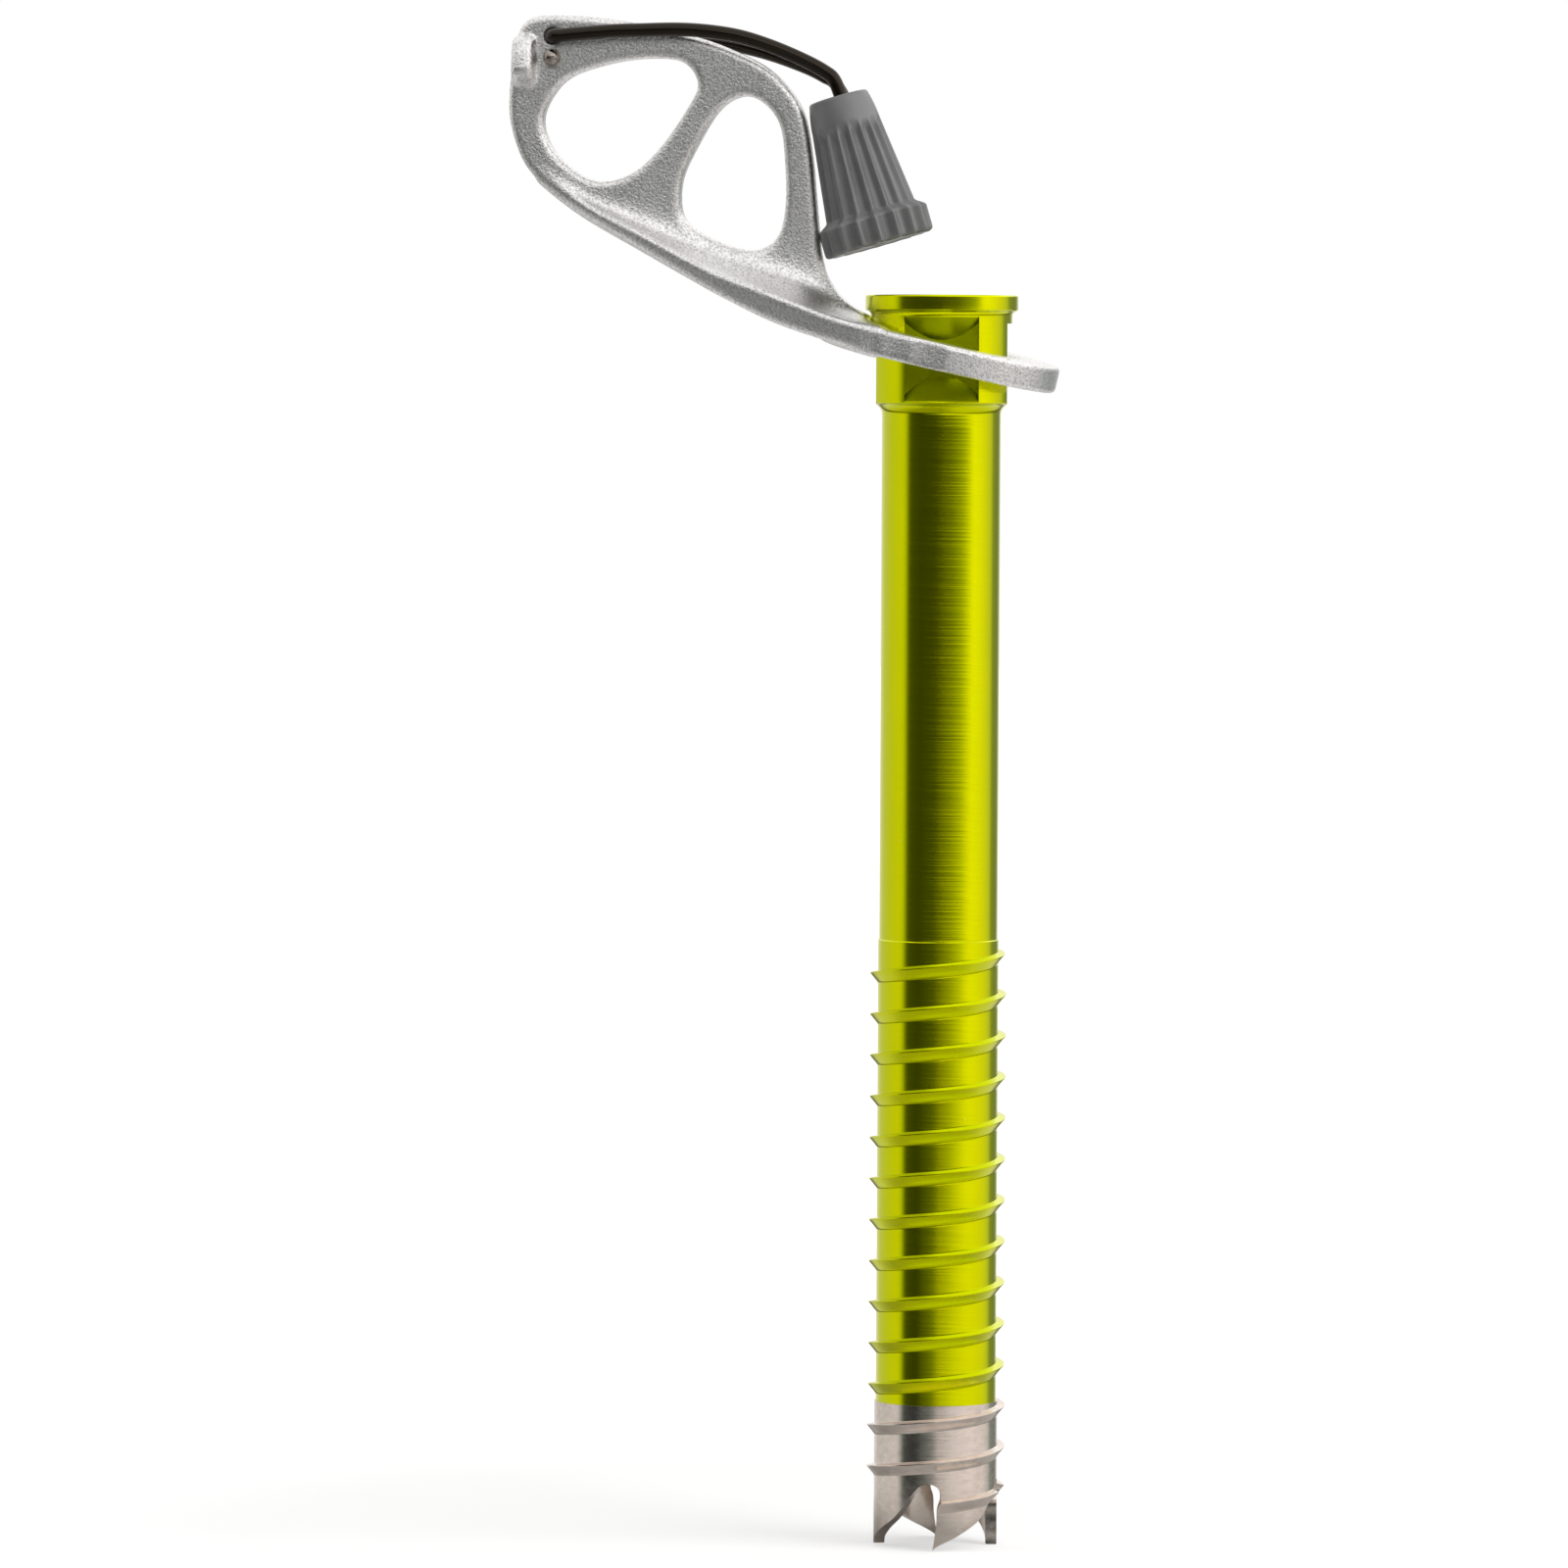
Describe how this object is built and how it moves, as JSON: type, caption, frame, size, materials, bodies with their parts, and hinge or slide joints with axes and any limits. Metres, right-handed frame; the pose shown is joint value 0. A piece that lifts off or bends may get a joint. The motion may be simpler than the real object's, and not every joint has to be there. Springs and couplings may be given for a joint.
{
  "type": "ice climbing screw",
  "caption": "Hollow ice climbing screw with a threaded tube, cutting teeth, a tilting clip hanger and a fold-out wire crank with a turning knob.",
  "frame": {"origin": "on the tube's axis, in the plane of the shoulder under the head", "axes": "+Z along the tube's axis towards the head; +Y away from the side that the picture shows; the clip plate points to -X"},
  "size_m": [0.0794, 0.034, 0.2195],
  "materials": {
    "anodised_tube": "bright yellow-green anodised, satin",
    "tip_steel": "turned and ground hardened steel",
    "hanger_alloy": "forged and peened, bare",
    "rivet_steel": "plain",
    "wire_coating": "black, satin",
    "spindle_steel": "turned",
    "washer_steel": "stamped",
    "knob_plastic": "moulded grey, fine grain"
  },
  "bodies": {
    "screw": {"tube_body": "anodised_tube", "cutting_tip": "tip_steel"},
    "hanger": {"hanger": "hanger_alloy", "stop_rivet": "rivet_steel"},
    "handle": {"handle_wire": "wire_coating", "knob_spindle": "spindle_steel", "spindle_washer": "washer_steel"},
    "knob": {"knob": "knob_plastic", "knob_plug": "knob_plastic"}
  },
  "joints": [
    {"name": "hanger_tilt", "type": "hinge", "parent": "screw", "child": "hanger", "pos_m": [0, 0, 0.00715], "axis": [0.1132, 0.9936, 0], "range_deg": [-26, 0]},
    {"name": "handle_swing", "type": "hinge", "parent": "hanger", "child": "handle", "pos_m": [-0.05594, 0.00593, 0.05246], "axis": [-0.1163, -0.9931, -0.0136], "range_deg": [0, 150]},
    {"name": "knob_spin", "type": "hinge", "parent": "handle", "child": "knob", "pos_m": [-0.0151, 0.00127, 0.04379], "axis": [-0.2796, 0.0196, 0.9599], "continuous": true}
  ]
}
